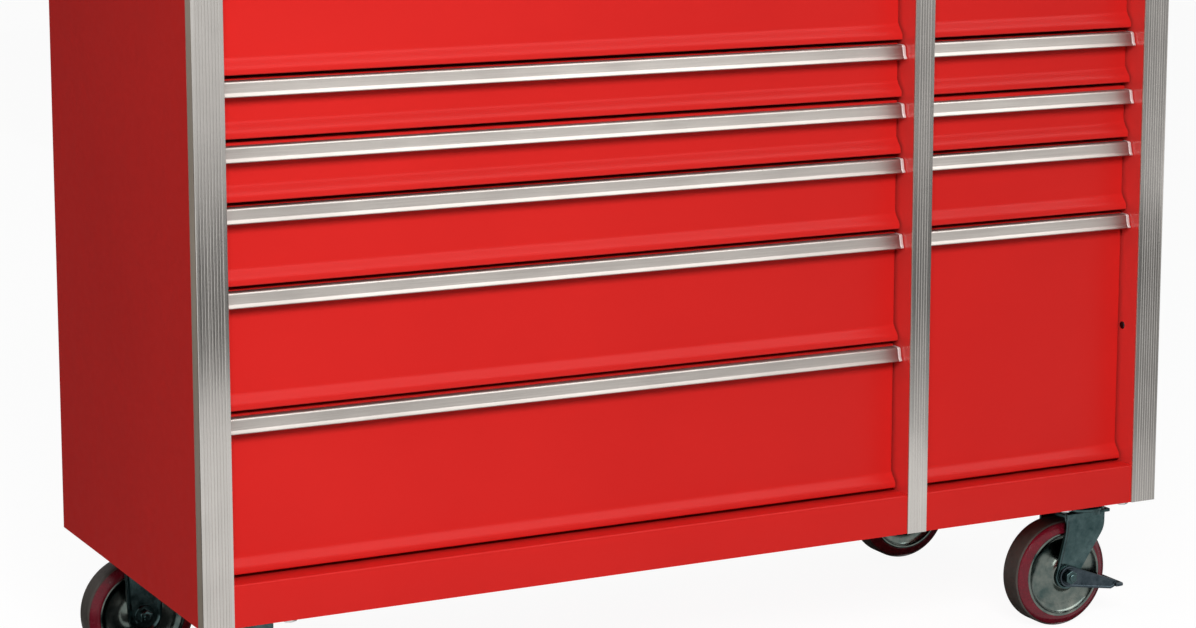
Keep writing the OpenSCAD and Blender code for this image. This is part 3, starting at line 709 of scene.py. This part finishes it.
def legOutline(centre, lean, width, top, foot, shoulderAt):
    ease = casterLook["ease"]
    outline = [(foot * math.cos(a), foot * math.sin(a)) for a in turns(180, 15, 13)]
    for x, towards in ((lean + width / 2, 1), (lean - width / 2, -1)):  # the shoulder's corner is eased
        low, knee = Vector((towards * foot, 0)), Vector((x, top * shoulderAt))
        first, last = knee + (low - knee).normalized() * ease, knee + Vector((0, ease))
        line = [first * (1 - t) ** 2 + knee * 2 * t * (1 - t) + last * t * t for t in (0, 0.25, 0.5, 0.75, 1)]
        line.append(Vector((x, top)))
        outline += line if towards > 0 else line[::-1]
    return shifted(outline, centre.x, centre.z)


def makeLegs(centre, lean, width, top, foot, shoulderAt):
    look = casterLook
    outline = legOutline(centre, lean, width, top, foot, shoulderAt)
    legs = []
    for way in (-1, 1):
        face = centre.y + way * look["legInner"]
        leg = traceSection("leg", [(x, face, z) for x, z in outline], True)
        drawOut((0, way * look["sheet"], 0))
        tidyNormals(leg)
        pressIn(leg, way, look["edge"], look["slope"], look["press"])
        roundEdges(leg, look["round"], angle=look["sharpest"])
        floor = face + way * (look["sheet"] - look["press"])
        legs += [leg, turnedRod("boss", (centre.x, floor, centre.z), look["boss"], (0, way, 0))]
    return legs


def makeAxle(centre, frontRoom):
    look = casterLook
    out = look["legInner"] + look["sheet"] + look["axleGap"]
    front, back = centre.y - out - frontRoom, centre.y + out
    parts = [addRod("axle", (centre.x, front, centre.z), (centre.x, back, centre.z), look["axleRadius"],
                    look["pinSteps"])]
    for y, way in ((front, -1), (back, 1)):
        parts.append(hexHead("head", (centre.x, y, centre.z), (0, way, 0), look["headRadius"],
                             look["headHeight"]))
    headEnd = (centre.x, front - look["headHeight"], centre.z)
    return parts + [turnedRod("stub", headEnd, look["stub"], (0, -1, 0), look["pinSteps"])]


def makePlate(x, y):
    look = casterLook
    long, wide = look["plateSize"]
    plate = addBlock("plate", (x - long / 2, y - wide / 2, look["plateFoot"]),
                     (x + long / 2, y + wide / 2, look["plateTop"]))
    bevelEdges(plate, lambda c, e: spans(e, 2), look["plateCorner"], segments=5)
    roundEdges(plate, look["plateRound"])
    return plate


def casterCentre(end, side):
    low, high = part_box(f"wheel_{end}_{side}")
    return (low + high) / 2


def makeRigidCasters():
    look = casterLook
    parts = []
    for end in ("front", "rear"):
        centre = casterCentre(end, "left")
        parts += makeLegs(centre, 0, look["rigidWidth"], look["plateFoot"] - look["axle"], look["rigidFoot"],
                          look["rigidShoulder"])
        parts += makeAxle(centre, 0) + [makePlate(centre.x, centre.y)]
    piece = joined("rigidCasterPair", parts)
    smooth(piece)
    place(piece, "cabinet", casterSteel, ["rigid_casters"])


def makeSwivelPlates():
    look = casterLook
    parts = []
    for end in ("front", "rear"):
        centre = casterCentre(end, "right")
        x, y = centre.x + look["trail"], centre.y
        raceFoot, pinFoot = look["plateFoot"] - look["raceHeight"], look["crown"] - look["pinDrop"]
        parts += [makePlate(x, y),
                  turnedRod("upperRace", (x, y, raceFoot), look["upperRace"], (0, 0, 1)),
                  turnedRod("kingpin", (x, y, pinFoot), look["kingpin"], (0, 0, 1), look["pinSteps"]),
                  hexHead("kingNut", (x, y, pinFoot + look["headHeight"]), (0, 0, -1), look["headRadius"],
                          look["headHeight"])]
    piece = joined("swivelHeads", parts)
    smooth(piece)
    place(piece, "cabinet", casterSteel, ["swivel_plates"])


def makeFork(end):
    look = casterLook
    centre = casterCentre(end, "right")
    x, y, crown = centre.x + look["trail"], centre.y, look["crown"]
    half, inner = look["bridgeHalf"], look["legInner"]
    parts = makeLegs(centre, look["lean"], look["legWidth"], crown + look["sheet"] - look["axle"],
                     look["foot"], look["shoulderAt"])
    parts += makeAxle(centre, look["sheet"] + look["brakeRoom"])
    bridge = addBlock("bridge", (x - half, y - inner, crown), (x + half, y + inner, crown + look["sheet"]))
    roundEdges(bridge, look["bridgeRound"], segments=3)
    race = turnedRod("lowerRace", (x, y, crown), look["lowerRace"], (0, 0, 1))
    piece = joined(f"forkFrame_{end}", parts + [bridge, race])
    smooth(piece)
    place(piece, f"caster_fork_{end}", casterSteel, [f"caster_fork_{end}"])


brakeLook = {
    "eye": 0.015, "eyeFrom": 62, "drop": 0.016, "start": 0.0792, "gap": 0.0003, "edge": 0.0025,
    "slope": 0.0008, "press": 0.0010, "round": 0.0006, "sharpest": 40,
    "toe": ((-0.006, -0.011), (0.0, -0.009), (0.004, -0.006), (0.004, 0.0)),
    "pedalTip": 0.094, "pedalDown": 0.004, "pedalThick": 0.004, "pedalIn": 0.0127, "pedalCorner": 0.006,
    "pedalRound": 0.0009, "ribs": 4, "ribStart": 0.0035, "ribPitch": 0.0026, "ribSize": (0.0011, 0.0007),
    "ribSide": 0.006, "ribSunk": 0.0002, "ribRound": 0.0003}


def makeBrake(end):
    look, sheet = brakeLook, casterLook["sheet"]
    centre = casterCentre(end, "right")
    eye, start = look["eye"], look["start"]
    outline = [(eye * math.cos(a), eye * math.sin(a)) for a in turns(look["eyeFrom"], 15, 15)]
    outline += shifted(look["toe"], start, -look["drop"])
    face = centre.y - casterLook["legInner"] - sheet - look["gap"]
    arm = traceSection("arm", [(x, face, z) for x, z in shifted(outline, centre.x, centre.z)], True)
    drawOut((0, -sheet, 0))
    tidyNormals(arm)
    pressIn(arm, -1, look["edge"], look["slope"], look["press"])
    roundEdges(arm, look["round"], angle=look["sharpest"])
    top = centre.z - look["drop"] - look["pedalDown"]
    low = Vector((centre.x + start, face - 2 * sheet + look["gap"], top - look["pedalThick"]))
    high = Vector((centre.x + look["pedalTip"], centre.y + look["pedalIn"], top))
    pedal = addBlock("pedal", low, high)
    bevelEdges(pedal, lambda c, e: spans(e, 2) and c.x > high.x - shortEdge, look["pedalCorner"], segments=4)
    roundEdges(pedal, look["pedalRound"])
    ribs = []
    wide, tall = look["ribSize"]
    for i in range(look["ribs"]):
        x = centre.x + start + look["ribStart"] + i * look["ribPitch"]
        ribs.append(addBlock("rib", (x, low.y + look["ribSide"], top - look["ribSunk"]),
                             (x + wide, high.y - look["ribSide"], top + tall)))
        roundEdges(ribs[-1], look["ribRound"], segments=1)
    piece = joined(f"brakeArm_{end}", [arm, pedal] + ribs)
    smooth(piece)
    place(piece, f"brake_{end}", brakeSteel, [f"brake_{end}"])


boltLook = {"half": (0.049, 0.036), "head": 0.0095, "height": 0.007, "shank": 0.005, "steps": 16,
            "floor": 0.0012}


def makeCasterBolts():
    look = boltLook
    foot, top = casterLook["plateFoot"], casterLook["plateTop"] + look["floor"]
    parts = []
    for end in ("front", "rear"):
        for side, off in (("left", 0), ("right", casterLook["trail"])):
            centre = casterCentre(end, side)
            for across, along in ((-1, -1), (-1, 1), (1, -1), (1, 1)):
                x, y = centre.x + off + across * look["half"][0], centre.y + along * look["half"][1]
                parts += [hexHead("head", (x, y, foot), (0, 0, -1), look["head"], look["height"]),
                          addRod("shank", (x, y, foot), (x, y, top), look["shank"], look["steps"]),
                          hexHead("nut", (x, y, top), (0, 0, 1), look["head"], look["height"])]
    piece = joined("plateBolts", parts)
    smooth(piece)
    place(piece, "cabinet", zincSteel, ["caster_bolts"])


makeRigidCasters()
makeSwivelPlates()
for end in ("front", "rear"):
    makeFork(end)
    makeBrake(end)
makeCasterBolts()
print("casters made")

# push handle: a tube with closed ends in two bossed brackets, held by screws

handleLook = {
    "flange": (0.044, 0.070, 0.005), "flangeCorner": 0.010, "flangeRound": 0.0014, "spread": 0.200,
    "tube": 0.0127, "tubeEnd": 0.214, "tubeRing": 0.1, "tubeSteps": 40, "bossIn": 0.0132, "boss": 0.0157,
    "bossHalf": 0.017, "bossRing": 0.010, "arm": 0.012, "armSunk": 0.001, "armIn": 0.004, "waist": 0.001,
    "screwUp": 0.025, "screwSteps": 32,
    # radius and height, the first two from the bar's and the arm's radius
    "easedEnd": ((-0.002, 0.0), (-0.0006, 0.0006), (0.0, 0.002)),
    "armFoot": ((0.005, 0.0), (0.0022, 0.0014), (0.0006, 0.0040), (0.0, 0.0080)),
    "screw": ((0.0052, 0.0), (0.0052, 0.0006), (0.0046, 0.0018), (0.0034, 0.0026), (0.0026, 0.0028),
              (0.0026, 0.0014), (0.0, 0.0014))}


def easedBar(radius, length, ringAt):  # outline of a bar with eased ends and one ring between them
    foot = shifted(handleLook["easedEnd"], radius, 0)
    return foot + [(radius, ringAt)] + [(r, length - up) for r, up in reversed(foot)]


def makeSideHandle():
    look = handleLook
    low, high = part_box("side_handle")
    face, axisX, z = low.x, high.x - look["boss"], (low.z + high.z) / 2
    tubeLength, bossLength, inner = 2 * look["tubeEnd"], 2 * look["bossHalf"], look["bossIn"]
    tubeSide = easedBar(look["tube"], tubeLength, look["tubeRing"])
    bossSide = easedBar(look["boss"], bossLength, look["bossRing"])
    parts = [turnedRod("grip", (axisX, -look["tubeEnd"], z), [(0, 0)] + tubeSide + [(0, tubeLength)],
                       (0, 1, 0), look["tubeSteps"])]
    wide, tall, thick = look["flange"]
    arm, reach, waist = look["arm"], axisX - face - look["boss"] + look["armIn"], look["waist"]
    armSide = shifted(look["armFoot"], arm, 0)
    armSide += [(arm - waist, reach / 2), (arm, reach - look["armIn"]), (arm + waist, reach)]
    for way in (-1, 1):
        y = way * look["spread"]
        flange = addBlock("flange", (face, y - wide / 2, z - tall / 2),
                          (face + thick, y + wide / 2, z + tall / 2))
        bevelEdges(flange, lambda c, e: spans(e, 0), look["flangeCorner"], segments=6)
        roundEdges(flange, look["flangeRound"], segments=3)
        parts += [flange, turnedRod("neck", (face + thick - look["armSunk"], y, z), armSide, (1, 0, 0)),
                  turnedRod("boss", (axisX, y - look["bossHalf"], z),
                            [(inner, 0)] + bossSide + [(inner, bossLength), (inner, 0)], (0, 1, 0))]
        for up in (-1, 1):
            foot = (face + thick, y, z + up * look["screwUp"])
            parts.append(turnedRod("screw", foot, look["screw"], (1, 0, 0), look["screwSteps"]))
    piece = joined("pushHandle", parts)
    smooth(piece)
    place(piece, "cabinet", zincSteel, ["side_handle"])


lockLook = {"rim": ((0.0093, 0.0), (0.0145, 0.0), (0.0145, 0.0006), (0.0137, 0.00182), (0.0123, 0.0026),
                    (0.0101, 0.0026), (0.0093, 0.0018), (0.0093, 0.0))}


def makeLockRim():
    low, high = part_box("lock_cylinder")
    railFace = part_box("top_rail")[0].y
    x, z = (low.x + high.x) / 2, (low.z + high.z) / 2
    piece = turnedRod("lockRim", (x, railFace, z), lockLook["rim"], (0, -1, 0))
    smooth(piece)
    place(piece, "cabinet", zincSteel)


# the dark disc that paints the shade inside the latch hole
holeShadeLook = {"up": 0.248, "back": 0.033, "steps": 32,
            "profile": ((0.0, 0.0), (0.0052, 0.0), (0.0052, 0.00048), (0.0046, 0.00102), (0.0038, 0.0012),
                        (0.0, 0.0012))}


def makeLatchHoleShade():  # a dark disc over the latch hole of the right post: painted shade standing for the hole's dark inside
    look = holeShadeLook
    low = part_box("side_panel_right")[0]
    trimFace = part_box("trim_right")[0].y
    centre = (low.x, trimFace + look["back"], low.z + look["up"])
    piece = turnedRod("latchHoleShade", centre, look["profile"], (-1, 0, 0), look["steps"])
    smooth(piece)
    place(piece, "cabinet", brakeSteel)


makeSideHandle()
makeLockRim()
makeLatchHoleShade()
print("handle and lock made")

# floor, world and lights

studio = {"floor": 60.0, "floorColour": 0.80, "floorRoughness": 0.9, "floorShare": 0.85, "floorGlow": 1.10,
          "ambient": 0.18, "white": 1.0, "boardThick": 0.002}


def seenByEye(nodes, links):  # 1 for rays from the camera, off glossy surfaces and through clear ones
    path = nodes.new("ShaderNodeLightPath")
    seen = path.outputs["Is Camera Ray"]
    for kind in ("Is Glossy Ray", "Is Transmission Ray"):
        either = nodes.new("ShaderNodeMath")
        either.operation = "MAXIMUM"
        links.new(seen, either.inputs[0])
        links.new(path.outputs[kind], either.inputs[1])
        seen = either.outputs[0]
    return seen


def makeFloor():
    clearSelection()
    bpy.ops.mesh.primitive_plane_add(size=studio["floor"], location=(0, 0, 0))
    floor = bpy.context.object
    floor.name = "floor"
    finish, nodes, links, shader = newFinish("floorWhite")
    shader.inputs["Base Color"].default_value = (studio["floorColour"],) * 3 + (1,)
    shader.inputs["Roughness"].default_value = studio["floorRoughness"]
    glow = nodes.new("ShaderNodeEmission")
    glow.inputs["Strength"].default_value = studio["floorGlow"]
    share = nodes.new("ShaderNodeMath")
    share.operation = "MULTIPLY"
    share.inputs[1].default_value = studio["floorShare"]  # the rest is lit, and keeps the shadow
    mix = nodes.new("ShaderNodeMixShader")
    links.new(seenByEye(nodes, links), share.inputs[0])
    links.new(share.outputs[0], mix.inputs["Fac"])
    links.new(shader.outputs[0], mix.inputs[1])
    links.new(glow.outputs[0], mix.inputs[2])
    links.new(mix.outputs[0], nodes["Material Output"].inputs["Surface"])
    floor.data.materials.append(finish)


def makeWorld():
    world = bpy.data.worlds.new("studio")
    bpy.context.scene.world = world
    world.use_nodes = True
    nodes, links = world.node_tree.nodes, world.node_tree.links
    soft, white = nodes["Background"], nodes.new("ShaderNodeBackground")
    for light, strength in ((soft, studio["ambient"]), (white, studio["white"])):
        light.inputs["Color"].default_value = (1, 1, 1, 1)
        light.inputs["Strength"].default_value = strength
    mix = nodes.new("ShaderNodeMixShader")
    links.new(seenByEye(nodes, links), mix.inputs["Fac"])
    links.new(soft.outputs[0], mix.inputs[1])
    links.new(white.outputs[0], mix.inputs[2])
    links.new(mix.outputs[0], nodes["World Output"].inputs["Surface"])


lampLook = {  # stands at, points to, size, power, lights surfaces, shows in reflections
    "keyLamp": ((-1.4, -3.6, 2.6), (-0.15, 0, 0.6), (1.8, 1.2), 132, True, False),
    "sideLamp": ((-1.9, -0.5, 2.5), (-0.75, 0, 0.8), (1.0, 1.0), 5.0, True, False),
    "stripLamp": ((1.0, -1.6, 2.9), (0.9, -0.3, 0.6), (4.6, 1.8), 100, False, True)}


def addLamp(name, standsAt, target, size, power, inDiffuse, inGloss):
    lampData = bpy.data.lights.new(name, "AREA")
    lampData.shape = "RECTANGLE"
    lampData.size, lampData.size_y = size
    lampData.energy = power
    lamp = bpy.data.objects.new(name, lampData)
    bpy.context.collection.objects.link(lamp)
    lamp.location = standsAt
    lamp.rotation_euler = (Vector(target) - Vector(standsAt)).to_track_quat("-Z", "Y").to_euler()
    lamp.visible_diffuse, lamp.visible_glossy = inDiffuse, inGloss


flagLook = {  # low corner, high corner, brightness
    "side": ((-7.0, -0.25, 0.004), (-0.76, 9.0, 0.004), 0.07),
    "rear": ((-9.0, 9.0, 0.0), (-0.8, 9.02, 4.0), 0.07),
    "rightSide": ((0.76, -0.25, 0.008), (7.0, 9.0, 0.008), 0.07),
    "rightRear": ((0.8, 9.0, 0.0), (9.0, 9.02, 4.0), 0.07),
    # the under board is a painted shadow: the dark floor beneath the cabinet, as reflections see it
    "under": ((-0.72, -0.23, 0.004), (1.0, 0.26, 0.004), 0.03),
    "front": ((-1.6, -4.7, 0.004), (1.2, -2.45, 0.004), 0.16),
    "middle": ((1.2, -4.3, 0.004), (3.2, -2.1, 0.004), 0.20),
    "far": ((3.2, -14.0, 0.004), (12.0, -4.2, 0.004), 0.37),
    "near": ((1.0, -2.1, 0.004), (2.6, -0.45, 0.004), 0.60),
    "close": ((1.3, -2.0, 0.008), (2.6, -1.1, 0.008), 0.36)}


def addFlag(name, low, high, level):  # a dark board that only reflections see
    low, high = Vector(low), Vector(high)
    board = addBlock(name, low, Vector((high.x, high.y, max(high.z, low.z + studio["boardThick"]))))
    finish, nodes, links, shader = newFinish(name)
    glow = nodes.new("ShaderNodeEmission")
    glow.inputs["Color"].default_value = (level, level, level, 1)
    links.new(glow.outputs[0], nodes["Material Output"].inputs["Surface"])
    board.data.materials.append(finish)
    board.visible_camera = board.visible_diffuse = board.visible_shadow = board.visible_transmission = False


makeFloor()
makeWorld()
for name, values in lampLook.items():
    addLamp(name, *values)
for name, values in flagLook.items():
    addFlag(name + "Flag", *values)
print("studio set")
